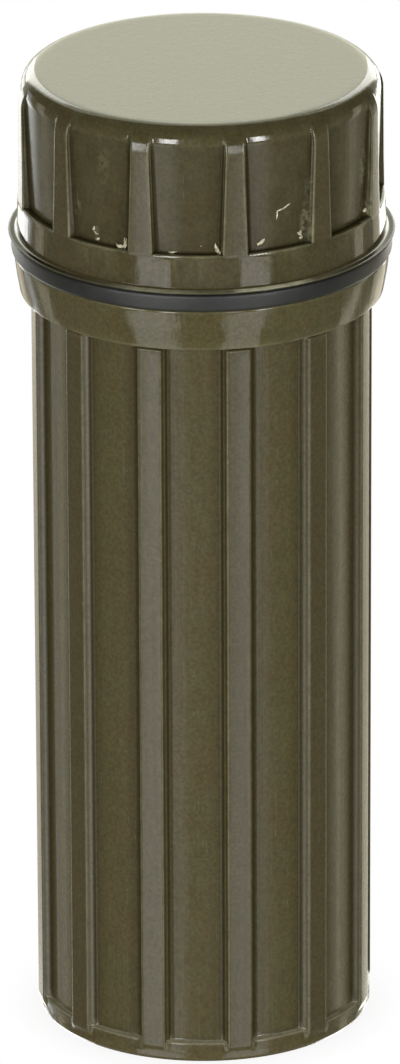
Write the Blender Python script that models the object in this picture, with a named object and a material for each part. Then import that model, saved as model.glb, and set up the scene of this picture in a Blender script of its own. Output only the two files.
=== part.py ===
"""Round waterproof case: ribbed container, screw cap, sealing ring and sparking bar.

The container is one moulding with a threaded neck. The ring lies on the shoulder round the
neck and is squeezed by the cap's lip. The bar is set in a slot under the base.
The origin is the centre of the face that the case stands on, and +Z runs up its axis.
"""

from math import cos, hypot, pi, sin, sqrt, tan

import bmesh
import bpy
from mathutils import Matrix, Vector

# Clearances between separate pieces
SEAT_GAP = 0.00025
CAP_CLEARANCE = 0.00025
BAR_GAP = 0.00025

# How far a solid that is joined to another reaches into it, and how far a cut runs past a face
OVERLAP = 0.0002
OVERRUN = 0.0005

# Points closer than this are one point
MERGE_DISTANCE = OVERLAP / 1000

# Container: the bore and the neck, counted outwards from the bore
BORE_RADIUS = 0.0110
BORE_DRAFT = 0.0002
NECK_WALL = 0.0013
NECK_HEIGHT = 0.0120
NECK_RIM_ROUND = 0.0004
LAND_STEP = 0.0007
LAND_HEIGHT = 0.0017
LAND_ROUND = 0.0003
SHOULDER_WIDTH = 0.0022

# Container: the collar under the shoulder, the wall and the ribs
BODY_HEIGHT = 0.0667
COLLAR_HEIGHT = 0.00325
COLLAR_OVERHANG = 0.00045
COLLAR_TOP_ROUND = 0.00015
COLLAR_FOOT_ROUND = 0.00035
WALL = 0.0024
RIB_COUNT = 12
RIB_HEIGHT = 0.00075
RIB_FACE_WIDTH = 0.0020
RIB_ROOT_WIDTH = 0.0028
RIB_EDGE_ROUND = 0.00022
RIB_FOOT_LIFT = 0.0007
RIB_FOOT_SLOPE = 0.0009

# Container: the base band, the foot ring and the cavity floor
BASE_BAND_HEIGHT = 0.0017
BASE_BAND_STEP = 0.00037
FOOT_CHAMFER = 0.00033
FOOT_RING_WIDTH = 0.0012
UNDERSIDE_RECESS = 0.0010
FLOOR_THICKNESS = 0.00125
FLOOR_ROUND = 0.0010

# Sparking bar and the boss that holds it
BAR_LENGTH = 0.0160
BAR_WIDTH = 0.0032
BAR_DEPTH = 0.0022
BAR_EDGE = 0.0003
BOSS_WALL = 0.0013
BOSS_LIFT = 0.0002
BOSS_CORNER = 0.0010

# Sealing ring, as it is squeezed between the shoulder and the lip
RING_WIDTH = 0.00239
RING_HEIGHT = 0.00139
RING_CORNER = 0.00062

# Cap: the wall is counted outwards from the bore, the height from the neck's rim
HEADROOM = 0.0022
CAP_TOP_THICKNESS = 0.0016
CAP_CEILING_ROUND = 0.0012
CAP_MOUTH_CHAMFER = 0.0004
CAP_WALL = 0.0012
CAP_PANEL_LEAN = 0.0003
CAP_RIB_HEIGHT = 0.0007
CAP_RIB_DRAFT = 0.00007
CAP_RIB_SINK = 0.00003
CAP_RIB_FOOT_WIDTH = 0.00215
CAP_RIB_HEAD_WIDTH = 0.00158
CAP_RIB_FLARE = 0.0005
CAP_RIB_ARCH = 0.0020
CAP_RIB_HEAD_DROP = 0.00012
CAP_BAND_HEIGHT = 0.0026
CAP_RIM_INSET = 0.0009
CAP_RIM_DROP = 0.0015
CAP_SHOULDER_DROP = 0.0020
LIP_PROJECTION = 0.000725
LIP_HEIGHT = 0.0005
LIP_ROUND = 0.0002

# The cap stops at this angle when it is tight
CAP_REST_ANGLE = -1.6 * pi / 180

# Facets
TURN_STEPS = 60
ROUND_STEPS = 3
ARCH_STEPS = 5

# Radii and heights that follow from the sizes above
NECK_RADIUS = BORE_RADIUS + NECK_WALL
LAND_RADIUS = NECK_RADIUS + LAND_STEP
SHOULDER_RADIUS = LAND_RADIUS + SHOULDER_WIDTH
NECK_TOP = BODY_HEIGHT + NECK_HEIGHT
PANEL_RADIUS = BORE_RADIUS + WALL
RIB_RADIUS = PANEL_RADIUS + RIB_HEIGHT
COLLAR_FOOT_RADIUS = RIB_RADIUS + COLLAR_OVERHANG
COLLAR_FOOT = BODY_HEIGHT - COLLAR_HEIGHT
BAND_RADIUS = PANEL_RADIUS + BASE_BAND_STEP
FOOT_RADIUS = BAND_RADIUS - FOOT_CHAMFER
CAVITY_FLOOR = BOSS_LIFT + BAR_DEPTH + BAR_GAP + FLOOR_THICKNESS
RING_INNER_RADIUS = LAND_RADIUS + SEAT_GAP
RING_CENTRE = BODY_HEIGHT + SEAT_GAP + RING_HEIGHT / 2
CAP_MOUTH = BODY_HEIGHT + SEAT_GAP + RING_HEIGHT + SEAT_GAP
CAP_BORE_RADIUS = LAND_RADIUS + CAP_CLEARANCE
CAP_CEILING = NECK_TOP + HEADROOM - CAP_MOUTH
CAP_HEIGHT = CAP_CEILING + CAP_TOP_THICKNESS
CAP_PANEL_FOOT_RADIUS = CAP_BORE_RADIUS + CAP_WALL
CAP_PANEL_HEAD_RADIUS = CAP_PANEL_FOOT_RADIUS + CAP_PANEL_LEAN
CAP_BAND_RADIUS = CAP_PANEL_FOOT_RADIUS + CAP_RIB_HEIGHT
CAP_BAND_TOP = LIP_HEIGHT + CAP_BAND_HEIGHT
CAP_RIM_RADIUS = CAP_BAND_RADIUS - CAP_RIM_INSET
LIP_RADIUS = CAP_BAND_RADIUS + LIP_PROJECTION


def clear_scene():
    """Start from an empty scene."""
    for obj in list(bpy.data.objects):
        bpy.data.objects.remove(obj, do_unlink=True)


def plain_material(name, colour, roughness):
    """One Principled finish with no metal in it."""
    mat = bpy.data.materials.new(name)
    mat.use_nodes = True
    shader = mat.node_tree.nodes["Principled BSDF"]
    shader.inputs["Base Color"].default_value = (*colour, 1.0)
    shader.inputs["Roughness"].default_value = roughness
    shader.inputs["Metallic"].default_value = 0.0
    return mat


def place(name, bm, mat=None):
    """Turn a finished bmesh into an object of the scene."""
    bmesh.ops.recalc_face_normals(bm, faces=bm.faces)
    mesh = bpy.data.meshes.new(name)
    bm.to_mesh(mesh)
    bm.free()
    mesh.shade_smooth()
    mesh.set_sharp_from_angle(angle=pi / 6)
    obj = bpy.data.objects.new(name, mesh)
    bpy.context.scene.collection.objects.link(obj)
    if mat:
        mesh.materials.append(mat)
    return obj


def combine(target, tool, operation):
    """Join a solid to the target or cut it out, and keep the tool as a hidden guide."""
    tool.hide_render = True
    tool.display_type = 'WIRE'
    tool.parent = target
    modifier = target.modifiers.new(tool.name, 'BOOLEAN')
    modifier.operation = operation
    modifier.solver = 'EXACT'
    modifier.object = tool


def rounded_corner(before, corner, after, radius):
    """Points of the arc that rounds one corner of an outline."""
    to_before = (before - corner).normalized()
    to_after = (after - corner).normalized()
    half = to_before.angle(to_after) / 2
    room = min((before - corner).length, (after - corner).length) / 2
    reach = min(radius / tan(half), room)
    radius = reach * tan(half)
    middle = corner + (to_before + to_after).normalized() * (radius / sin(half))
    start = corner + to_before * reach - middle
    sweep = start.angle_signed(corner + to_after * reach - middle)
    return [middle + Matrix.Rotation(-sweep * step / ROUND_STEPS, 2) @ start
            for step in range(ROUND_STEPS + 1)]


def outline(corners):
    """Radius and height of each point of an outline whose corners may be rounded."""
    spots = [Vector(corner[:2]) for corner in corners]
    points = []
    for index, corner in enumerate(corners):
        if len(corner) == 3:
            points += rounded_corner(spots[index - 1], spots[index], spots[index + 1], corner[2])
        else:
            points.append(spots[index])
    return points


def turned(points):
    """Turn an outline that starts and ends on the axis, or closes on itself, about Z.

    The facets are half a step off the ribs, so no facet edge runs along the middle of one.
    """
    bm = bmesh.new()
    ring = [bm.verts.new((point.x, 0, point.y)) for point in points]
    edges = [bm.edges.new(pair) for pair in zip(ring, ring[1:])]
    if points[0].x > 0:
        edges.append(bm.edges.new((ring[-1], ring[0])))
    bmesh.ops.rotate(bm, verts=ring, cent=(0, 0, 0), matrix=Matrix.Rotation(pi / TURN_STEPS, 3, 'Z'))
    bmesh.ops.spin(bm, geom=ring + edges, cent=(0, 0, 0), axis=(0, 0, 1), angle=2 * pi,
                   steps=TURN_STEPS, use_merge=True)
    bmesh.ops.remove_doubles(bm, verts=bm.verts, dist=MERGE_DISTANCE)
    return bm


def rib_section(bm, turn, height, root_radius, face_radius, root_width, face_width, edge_round):
    """One cross section of a rib: leaning sides, rounded edges and a face bent round the axis."""
    half = face_width / 2
    inset = min(edge_round, half)
    side = [(-root_width / 2, root_radius), (-half, face_radius - inset), (inset - half, face_radius)]
    spots = side + [(0, face_radius)] + [(-x, radius) for x, radius in reversed(side)]
    verts = []
    for x, radius in spots:
        outward = sqrt(radius ** 2 - x ** 2)
        verts.append(bm.verts.new(turn @ Vector((x, -outward, height))))
    return verts


def ribs(name, sections):
    """A circle of ribs, each lofted through its cross sections from foot to head."""
    bm = bmesh.new()
    for index in range(RIB_COUNT):
        turn = Matrix.Rotation(2 * pi * index / RIB_COUNT, 3, 'Z')
        loops = [rib_section(bm, turn, *section) for section in sections]
        for lower, upper in zip(loops, loops[1:]):
            for left in range(len(lower)):
                right = (left + 1) % len(lower)
                bm.faces.new((lower[left], lower[right], upper[right], upper[left]))
        bm.faces.new(loops[0])
        bm.faces.new(loops[-1])
    return place(name, bm)


def bar_block(name, length, width, bottom, top, corner, mat=None):
    """A straight bar along X whose upright corners are bevelled."""
    bm = bmesh.new()
    size = Matrix.Diagonal((length, width, top - bottom, 1))
    bmesh.ops.create_cube(bm, size=1, matrix=Matrix.Translation((0, 0, (bottom + top) / 2)) @ size)
    upright = [edge for edge in bm.edges
               if hypot(*(edge.verts[0].co - edge.verts[1].co).xy) < MERGE_DISTANCE]
    bmesh.ops.bevel(bm, geom=upright, offset=corner, segments=ROUND_STEPS, affect='EDGES',
                    profile=0.5)
    return place(name, bm, mat)


def container_outline():
    """The container from the middle of its underside, up the outside and down the bore."""
    return outline([
        (0, UNDERSIDE_RECESS),
        (FOOT_RADIUS - FOOT_RING_WIDTH, UNDERSIDE_RECESS),
        (FOOT_RADIUS - FOOT_RING_WIDTH, 0),
        (FOOT_RADIUS, 0),
        (BAND_RADIUS, FOOT_CHAMFER),
        (BAND_RADIUS, BASE_BAND_HEIGHT),
        (PANEL_RADIUS, BASE_BAND_HEIGHT),
        (PANEL_RADIUS, COLLAR_FOOT),
        (COLLAR_FOOT_RADIUS, COLLAR_FOOT, COLLAR_FOOT_ROUND),
        (SHOULDER_RADIUS, BODY_HEIGHT, COLLAR_TOP_ROUND),
        (LAND_RADIUS, BODY_HEIGHT),
        (LAND_RADIUS, BODY_HEIGHT + LAND_HEIGHT, LAND_ROUND),
        (NECK_RADIUS, BODY_HEIGHT + LAND_HEIGHT),
        (NECK_RADIUS, NECK_TOP, NECK_RIM_ROUND),
        (BORE_RADIUS, NECK_TOP, NECK_RIM_ROUND),
        (BORE_RADIUS - BORE_DRAFT, CAVITY_FLOOR, FLOOR_ROUND),
        (0, CAVITY_FLOOR),
    ])


def body_rib_sections():
    """A container rib, from its sloped foot in the base band to its head inside the collar."""
    root = PANEL_RADIUS - OVERLAP
    foot_face = BAND_RADIUS - OVERLAP
    widths = (RIB_ROOT_WIDTH, RIB_FACE_WIDTH, RIB_EDGE_ROUND)
    return [
        (RIB_FOOT_LIFT, root, foot_face, *widths),
        (RIB_FOOT_LIFT + RIB_FOOT_SLOPE, root, RIB_RADIUS, *widths),
        (COLLAR_FOOT + COLLAR_FOOT_ROUND + OVERLAP, root, RIB_RADIUS, *widths),
    ]


def make_container(mat):
    """The ribbed container with its neck, base and the boss that holds the bar."""
    container = place("container", turned(container_outline()), mat)
    combine(container, ribs("container_rib_tool", body_rib_sections()), 'UNION')
    boss = bar_block("bar_boss_tool", BAR_LENGTH + 2 * (BAR_GAP + BOSS_WALL),
                     BAR_WIDTH + 2 * (BAR_GAP + BOSS_WALL), BOSS_LIFT,
                     UNDERSIDE_RECESS + OVERRUN, BOSS_CORNER)
    combine(container, boss, 'UNION')
    slot = bar_block("bar_slot_tool", BAR_LENGTH + 2 * BAR_GAP, BAR_WIDTH + 2 * BAR_GAP,
                     BOSS_LIFT - OVERRUN, BOSS_LIFT + BAR_DEPTH + BAR_GAP, BAR_EDGE + BAR_GAP)
    combine(container, slot, 'DIFFERENCE')
    return container


def make_bar(mat):
    """The sparking bar, flush with its boss."""
    return bar_block("sparking_bar", BAR_LENGTH, BAR_WIDTH, BOSS_LIFT, BOSS_LIFT + BAR_DEPTH,
                     BAR_EDGE, mat)


def make_ring(mat):
    """The sealing ring, flattened above and below where it is squeezed."""
    outer = RING_INNER_RADIUS + RING_WIDTH
    half = RING_HEIGHT / 2
    section = [(RING_INNER_RADIUS, -half), (outer, -half), (outer, half), (RING_INNER_RADIUS, half)]
    spots = [Vector(spot) for spot in section]
    points = []
    for index, spot in enumerate(spots):
        points += rounded_corner(spots[index - 1], spot, spots[(index + 1) % len(spots)], RING_CORNER)
    ring = place("sealing_ring", turned(points), mat)
    ring.location.z = RING_CENTRE
    return ring


def shoulder_arc(radius, drop, top, steps):
    """Points of the cap's rounded edge, from an upright wall to the rim of the top face."""
    return [(CAP_RIM_RADIUS + (radius - CAP_RIM_RADIUS) * cos(pi / 2 * step / steps),
             top - drop + drop * sin(pi / 2 * step / steps)) for step in range(steps + 1)]


def cap_outline():
    """The cap from the middle of its top, down the outside, round the lip and up the bore."""
    panel_edge = shoulder_arc(CAP_PANEL_HEAD_RADIUS, CAP_RIM_DROP, CAP_HEIGHT, ARCH_STEPS)
    return outline([
        (0, CAP_HEIGHT),
        *reversed(panel_edge),
        (CAP_PANEL_FOOT_RADIUS, CAP_BAND_TOP),
        (CAP_BAND_RADIUS, CAP_BAND_TOP),
        (CAP_BAND_RADIUS, LIP_HEIGHT),
        (LIP_RADIUS, LIP_HEIGHT, LIP_ROUND),
        (LIP_RADIUS, 0, LIP_ROUND),
        (CAP_BORE_RADIUS + CAP_MOUTH_CHAMFER, 0),
        (CAP_BORE_RADIUS, CAP_MOUTH_CHAMFER),
        (CAP_BORE_RADIUS, CAP_CEILING, CAP_CEILING_ROUND),
        (0, CAP_CEILING),
    ])


def cap_rib_sections():
    """A cap rib: it widens to the band below, and its arched head bends over the cap's edge."""
    foot_face = CAP_BAND_RADIUS - CAP_RIB_SINK
    head_face = foot_face - CAP_RIB_DRAFT
    head = CAP_HEIGHT - CAP_RIB_HEAD_DROP
    sections = [(CAP_BAND_TOP - OVERLAP, CAP_PANEL_FOOT_RADIUS - OVERLAP, foot_face,
                 CAP_RIB_FOOT_WIDTH + CAP_RIB_FLARE, CAP_RIB_FOOT_WIDTH, RIB_EDGE_ROUND)]
    arc = shoulder_arc(head_face, CAP_SHOULDER_DROP, head, ARCH_STEPS)
    for face, height in arc[:-1]:
        rise = max(0, height - (head - CAP_RIB_ARCH)) / CAP_RIB_ARCH
        narrowing = sqrt(1 - rise ** 2)
        width = CAP_RIB_HEAD_WIDTH * narrowing
        root = min(CAP_PANEL_HEAD_RADIUS, face) - OVERLAP - CAP_RIB_HEIGHT
        sections.append((height, root, face, width + CAP_RIB_FLARE * narrowing, width,
                         RIB_EDGE_ROUND * narrowing))
    return sections


def make_cap(mat):
    """The screw cap with its grip ribs, plain band and lip."""
    cap = place("screw_cap", turned(cap_outline()), mat)
    combine(cap, ribs("cap_rib_tool", cap_rib_sections()), 'UNION')
    cap.location.z = CAP_MOUTH
    cap.rotation_euler.z = CAP_REST_ANGLE
    return cap


def main():
    clear_scene()
    olive_plastic = plain_material("olive_plastic", (0.072, 0.064, 0.030), 0.32)
    black_rubber = plain_material("black_rubber", (0.018, 0.018, 0.020), 0.6)
    bar_alloy = plain_material("sparking_alloy", (0.055, 0.052, 0.050), 0.5)
    make_container(olive_plastic)
    make_bar(bar_alloy)
    make_ring(black_rubber)
    make_cap(olive_plastic)


main()
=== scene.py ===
"""Round waterproof case: a ribbed container with a screw cap, a sealing ring and a sparking bar.

Every length is in metres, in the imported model's frame: the case stands on z = 0, its axis is Z,
and the middle of one rib of the container faces -Y.
"""

from math import atan2, cos, degrees, hypot, pi, radians, sin, sqrt, tan, tau

import bmesh
import bpy
from bpy.props import FloatProperty, FloatVectorProperty, PointerProperty
from mathutils import Matrix, Vector, noise


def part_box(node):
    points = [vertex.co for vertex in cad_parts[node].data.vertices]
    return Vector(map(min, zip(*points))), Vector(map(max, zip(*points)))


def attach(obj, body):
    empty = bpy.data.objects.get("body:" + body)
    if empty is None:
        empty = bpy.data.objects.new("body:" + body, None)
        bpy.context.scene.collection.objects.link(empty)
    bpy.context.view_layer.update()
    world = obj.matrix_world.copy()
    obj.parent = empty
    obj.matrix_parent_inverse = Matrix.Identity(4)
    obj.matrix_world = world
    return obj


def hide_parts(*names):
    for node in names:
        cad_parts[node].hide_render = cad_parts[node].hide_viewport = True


bl_info = {
    "name": "Round waterproof case",
    "version": (1, 0, 0),
    "blender": (4, 5, 0),
    "location": "View3D > Sidebar > Case",
    "description": "Models and dresses a round waterproof case around its packed parts",
    "category": "Add Mesh",
}

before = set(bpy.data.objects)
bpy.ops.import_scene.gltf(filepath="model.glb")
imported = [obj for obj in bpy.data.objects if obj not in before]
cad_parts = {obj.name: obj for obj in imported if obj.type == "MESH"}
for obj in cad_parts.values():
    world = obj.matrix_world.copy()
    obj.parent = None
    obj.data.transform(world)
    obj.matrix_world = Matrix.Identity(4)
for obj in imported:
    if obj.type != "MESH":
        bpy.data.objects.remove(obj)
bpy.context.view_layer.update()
CAP_LOW, CAP_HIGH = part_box("screw_cap")
RING_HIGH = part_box("sealing_ring")[1]
BAR_LOW, BAR_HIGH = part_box("sparking_bar")

# The photograph's frame in pixels, and the camera that was fitted to it
PHOTO_WIDTH, PHOTO_HEIGHT = 400, 1064
FOCAL_PIXELS = 14254
SENSOR = 36
LOOK_POINT = Vector((0, 0, 0.0415))
LOOK_PIXEL = (202.88, 535.31)
PIXELS_PER_METRE = 12085
CAMERA_ELEVATION = 21.56
CAMERA_TURN = radians(12.1)
CAMERA_DISTANCE = 1.178
CAMERA_ROLL = radians(0.24)

RIB_COUNT = 12
# Columns of a ring in one rib's share of it. From the middle of a rib, columns 0 to 2 lie on its
# face, 2 to 5 round its edge, 6 to 9 fill its root, and 9 to 12 lie on half a panel
SHARE = 24
HALF_SHARE = SHARE // 2
RING_POINTS = RIB_COUNT * SHARE
ARC_STEPS = 3
# A root is rounded this much more than an edge. EDGE_OF_FACE and EDGE_OF_HEIGHT are the most of a
# rib's half face and of its height that its edge takes, and ROOT_OF_HEIGHT what its root takes
ROOT_TO_EDGE = 2.0
EDGE_OF_FACE = 0.55
EDGE_OF_HEIGHT = 0.4
ROOT_OF_HEIGHT = 0.55
# Columns, painted shade in hollows and wear this close to an edge belong to it
BESIDE = 0.00012
# The width of a scuff, as a share of its height
SCUFF_SQUASH = 0.35
POINT_SLACK = 1e-6
MM = 1000
POINTS, EDGES = (True, False, False), (False, True, False)
# How far the closed cap's ribs are turned from the container's
CAP_REST_ANGLE = radians(-1.6)
ABS_IOR = 1.53
# Tones that go with the colours a user sets
# Painted shade in the hollows
HOLLOW_PAINTED_SHADE = "#171308"
RUBBER_BLOOM = "#1e1f1a"
STRUCK_ALLOY = "#8d8880"
FLASH_SHADE = "#7d7a5e"
WHITE = "#ffffff"
BACKDROP_TINT = "#ffffe8"


def linear(hex_colour):
    """Linear colour of an sRGB hex value."""
    parts = [int(hex_colour[i:i + 2], 16) / 255 for i in (1, 3, 5)]
    return tuple(p / 12.92 if p <= 0.04045 else ((p + 0.055) / 1.055) ** 2.4 for p in parts)


def length(name, description, default):
    return FloatProperty(name=name, description=description, default=default, min=0,
                         unit='LENGTH', precision=5)


def colour(name, description, default):
    return FloatVectorProperty(name=name, description=description, default=linear(default),
                               size=3, min=0, max=1, subtype='COLOR')


class CaseSizes(bpy.types.PropertyGroup):
    """Sizes of the case that a user would change."""
    panel_radius: length("Panel radius", "Axis to the container's panels", 0.0134)
    rib_height: length("Rib height", "How far a rib of the container stands out", 0.00075)
    rib_width: length("Rib width", "Width of a rib's face on the container", 0.00208)
    rib_foot: length("Rib foot", "Height of the foot of the container's ribs", 0.00083)
    band_radius: length("Base band radius", "Axis to the plain band at the base", 0.01377)
    collar_foot: length("Collar foot", "Height of the collar's lower edge", 0.06345)
    collar_foot_radius: length("Collar foot radius", "Axis to the collar's lower edge", 0.01490)
    shoulder: length("Shoulder height", "Height of the face the ring lies on", 0.0670)
    shoulder_radius: length("Shoulder radius", "Axis to the shoulder's outer edge", 0.01536)
    land_radius: length("Land radius", "Axis to the land that centres the ring", 0.0130)
    neck_radius: length("Neck radius", "Axis to the outside of the neck", 0.0123)
    bore_radius: length("Bore radius", "Axis to the container's bore", 0.0110)
    neck_top: length("Neck top", "Height of the neck's rim", 0.0787)
    cavity_floor: length("Cavity floor", "Height of the floor of the bore", 0.0039)
    edge_round: length("Edge rounding", "Widest rounding of an inner edge", 0.00034)
    cap_panel_foot: length("Cap panel foot", "Axis to the foot of a cap panel", 0.01445)
    cap_panel_head: length("Cap panel head", "Axis to the head of a cap panel", 0.01472)
    cap_rib_radius: length("Cap rib radius", "Axis to the face of a cap rib", 0.01510)
    cap_band_radius: length("Cap band radius", "Axis to the foot of the cap's band", 0.01516)
    cap_band_height: length("Cap band height", "Height of the lip and plain band", 0.0031)
    cap_bore_radius: length("Cap bore radius", "Axis to the cap's bore", 0.01325)
    cap_rim_radius: length("Cap rim radius", "Axis to the edge of the flat top", 0.01325)
    lip_gap: length("Lip gap", "From the cap's mouth up to the lip", 0.00006)
    lip_height: length("Lip height", "Thickness of the lip", 0.00013)
    thread_pitch: length("Thread pitch", "Rise of the thread in one turn", 0.003175)
    thread_height: length("Thread height", "How far a thread stands out", 0.0006)


class CaseColours(bpy.types.PropertyGroup):
    """Colours of the case's materials."""
    olive: colour("Olive plastic", "The plastic as moulded", "#483c22")
    olive_green: colour("Greener olive", "Where the pigment is greener", "#423f23")
    # Also the colour of the painted highlight on convex edges
    olive_scuff_and_highlight: colour("Scuffed plastic", "Where it is rubbed and scuffed", "#8c8a6c")
    # Also the colour of the painted highlights on the lip and the collar
    olive_flash_and_highlight: colour("Whitened flash", "Flash and nicks that turned pale", "#d2ceb2")
    rubber: colour("Sealing rubber", "The ring's rubber", "#121317")
    alloy: colour("Sparking alloy", "The bar's cast alloy", "#56524c")
    floor: colour("Floor", "The stand that the case is on", "#f2f2f0")


def sizes():
    return bpy.context.scene.case_sizes


def colours():
    return bpy.context.scene.case_colours


def photo_direction(azimuth, elevation=0):
    """Unit direction, these many degrees to the right of the camera and above level."""
    turned, rise = radians(azimuth) - CAMERA_TURN, radians(elevation)
    return Vector((sin(turned) * cos(rise), -cos(turned) * cos(rise), sin(rise)))


# Modelling: a piece starts as a ring of points and is pulled on from ring to ring

def start_piece(name, primitive, **settings):
    """Add a primitive at its size and place as a new piece."""
    bpy.ops.object.select_all(action='DESELECT')
    primitive(**settings)
    piece = bpy.context.object
    piece.name = piece.data.name = name
    bpy.ops.object.transform_apply(location=True, rotation=True, scale=True)
    return piece


def edit(action='SELECT', kind=POINTS):
    """Enter edit mode with all or nothing selected."""
    bpy.ops.object.mode_set(mode='EDIT')
    bpy.context.tool_settings.mesh_select_mode = kind
    bpy.ops.mesh.select_all(action=action)


def begin_ring(name, radius, height, points=RING_POINTS):
    """Start a piece as a ring at its size and place, and leave it in edit mode, all selected."""
    piece = start_piece(name, bpy.ops.mesh.primitive_circle_add, vertices=points, radius=radius,
                        fill_type='NOTHING', location=(0, 0, height))
    edit()
    return piece


def axis_radius(co):
    return hypot(co.x, co.y)


def axis_angle(co):
    """Angle round the axis from -Y, anticlockwise seen from above."""
    return atan2(co.x, -co.y)


def columns(mesh):
    """The selected ring's points in order round the axis, from the middle of a rib."""
    ring = [point for point in mesh.verts if point.select]
    return sorted(ring, key=lambda point: (axis_angle(point.co) + radians(0.3)) % tau)


def select_points(piece, test):
    """Select the points that pass the test, and the edges between them."""
    mesh = bmesh.from_edit_mesh(piece.data)
    bpy.ops.mesh.select_all(action='DESELECT')
    for point in mesh.verts:
        if test(point.co):
            point.select_set(True)
    mesh.select_flush(True)


def select_ring(piece, radius, height):
    """Select the plain ring that lies here."""
    select_points(piece, lambda co: abs(co.z - height) < POINT_SLACK
                  and abs(axis_radius(co) - radius) < POINT_SLACK)


def select_listed(piece, indices):
    """Select the points with these numbers, and the edges between them."""
    mesh = bmesh.from_edit_mesh(piece.data)
    mesh.verts.ensure_lookup_table()
    bpy.ops.mesh.select_all(action='DESELECT')
    for index in indices:
        mesh.verts[index].select_set(True)
    mesh.select_flush(True)


def scale_round(factor):
    """Scale what is selected about the axis."""
    if abs(factor - 1) > POINT_SLACK:
        bpy.ops.transform.resize(value=(factor, factor, 1), center_override=(0, 0, 0))


def turn_round(angle):
    """Turn what is selected about the axis. With no window the operator turns the other way."""
    if abs(angle) > POINT_SLACK:
        bpy.ops.transform.rotate(value=-angle, orient_axis='Z', center_override=(0, 0, 0))


def lift(piece, height):
    """Extrude the selected ring to a new height, and give where its first column was."""
    mesh = bmesh.from_edit_mesh(piece.data)
    first = columns(mesh)[0].co.copy()
    bpy.ops.mesh.extrude_region_move(TRANSFORM_OT_translate={"value": (0, 0, height - first.z)})
    return first


def pull(piece, radius, height):
    """Extrude the selected ring, as it is, to a new radius of its first column and a new height."""
    scale_round(radius / axis_radius(lift(piece, height)))


def shape_ring(piece, radii, angles):
    """Move the ring's columns to these radii and, either side of a rib's middle, these angles."""
    mesh = bmesh.from_edit_mesh(piece.data)
    ring = columns(mesh)
    indices = [point.index for point in ring]
    places = [point.co.copy() for point in ring]
    for column in range(HALF_SHARE + 1):
        both = [index for number, index in enumerate(indices)
                if number % SHARE in (column, (SHARE - column) % SHARE)]
        select_listed(piece, both)
        scale_round(radii[column] / axis_radius(places[column]))
        if 0 < column < HALF_SHARE:
            for side in (1, -1):
                one = [index for number, index in enumerate(indices)
                       if number % SHARE == (column * side) % SHARE]
                select_listed(piece, one)
                turn_round(side * (angles[column] - axis_angle(places[column])))
    select_listed(piece, indices)


def section(rib, panel, face, slant, edge):
    """Radii and angles of the columns, from the middle of a rib to the middle of a panel.

    face is half the width of the rib's face, slant how much wider its root is on either side,
    and edge rounds both.
    """
    wall, height = face + slant, max(0, rib - panel)
    across, deep = min(edge, face * EDGE_OF_FACE), min(edge, height * EDGE_OF_HEIGHT)
    root = min(edge * ROOT_TO_EDGE, wall)
    sunk = min(edge * ROOT_TO_EDGE, height * ROOT_OF_HEIGHT)
    arc = [pi / 2 * step / ARC_STEPS for step in range(ARC_STEPS + 1)]
    radii = [rib, rib] + [rib - deep * (1 - cos(turn)) for turn in arc]
    radii += [panel + sunk * (1 - sin(turn)) for turn in arc]
    places = [0, max(0, face - across - BESIDE)] + [face - across * (1 - sin(turn)) for turn in arc]
    places += [wall + root * (1 - cos(turn)) for turn in arc]
    angles = [place / radius for place, radius in zip(places, radii)]
    angles.append(angles[-1] + BESIDE / panel)
    left = HALF_SHARE + 1 - len(angles)
    spread = (pi / RIB_COUNT - angles[-1]) / left
    angles += [angles[-1] + spread * (step + 1) for step in range(left)]
    return radii + [panel] * (left + 1), angles


def pull_section(piece, height, *shape):
    """Extrude the ring to a new height, with its ribs and panels in this section."""
    lift(piece, height)
    shape_ring(piece, *section(*shape))


def rounded(corners, steps=ARC_STEPS):
    """Points of a line of (radius, height) or (radius, height, rounding) corners."""
    points = []
    for number, (radius, height, *rounding) in enumerate(corners):
        here = Vector((radius, height))
        if not rounding:
            points.append(here)
            continue
        before = Vector(corners[number - 1][:2]) - here
        after = Vector(corners[number + 1][:2]) - here
        reach = min(rounding[0] / tan(before.angle(after) / 2), before.length / 2,
                    after.length / 2)
        start, end = here + before.normalized() * reach, here + after.normalized() * reach
        for step in range(steps + 1):
            along = step / steps
            points.append(start * (1 - along) ** 2 + here * 2 * along * (1 - along)
                          + end * along ** 2)
    return points


def pull_along(piece, points):
    """Extrude a plain ring from point to point."""
    for radius, height in points:
        pull(piece, radius, height)


def close_ring():
    """Close the selected ring with one flat face."""
    bpy.ops.mesh.edge_face_add()


def finish_shell(piece):
    """Leave edit mode with one closed shell whose faces point outwards."""
    bpy.ops.mesh.select_all(action='SELECT')
    bpy.ops.mesh.remove_doubles(threshold=POINT_SLACK)
    bpy.ops.mesh.normals_make_consistent(inside=False)
    bpy.ops.object.mode_set(mode='OBJECT')


def choose(piece, *others):
    """Make a piece the active object, and select it with the others alone."""
    bpy.ops.object.select_all(action='DESELECT')
    for each in (piece, *others):
        each.select_set(True)
    bpy.context.view_layer.objects.active = piece


def weigh_edges(piece, weight_at, sharpness):
    """Give each sharp edge a bevel weight by its place: weight_at takes its middle."""
    choose(piece)
    edit('DESELECT', EDGES)
    bpy.ops.mesh.edges_select_sharp(sharpness=sharpness)
    mesh = bmesh.from_edit_mesh(piece.data)
    groups = {}
    for edge in mesh.edges:
        if edge.select:
            middle = (edge.verts[0].co + edge.verts[1].co) / 2
            groups.setdefault(round(weight_at(middle), 2), []).append(edge.index)
    for weight, indices in groups.items():
        if weight <= 0:
            continue
        mesh = bmesh.from_edit_mesh(piece.data)
        mesh.edges.ensure_lookup_table()
        bpy.ops.mesh.select_all(action='DESELECT')
        for index in indices:
            mesh.edges[index].select_set(True)
        bpy.ops.transform.edge_bevelweight(value=weight)
    bpy.ops.object.mode_set(mode='OBJECT')


def apply_modifier(piece, kind, **settings):
    """Add a modifier to a piece with these settings and apply it."""
    choose(piece)
    modifier = piece.modifiers.new(kind.lower(), kind)
    for name, value in settings.items():
        setattr(modifier, name, value)
    bpy.ops.object.modifier_apply(modifier=modifier.name)


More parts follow.
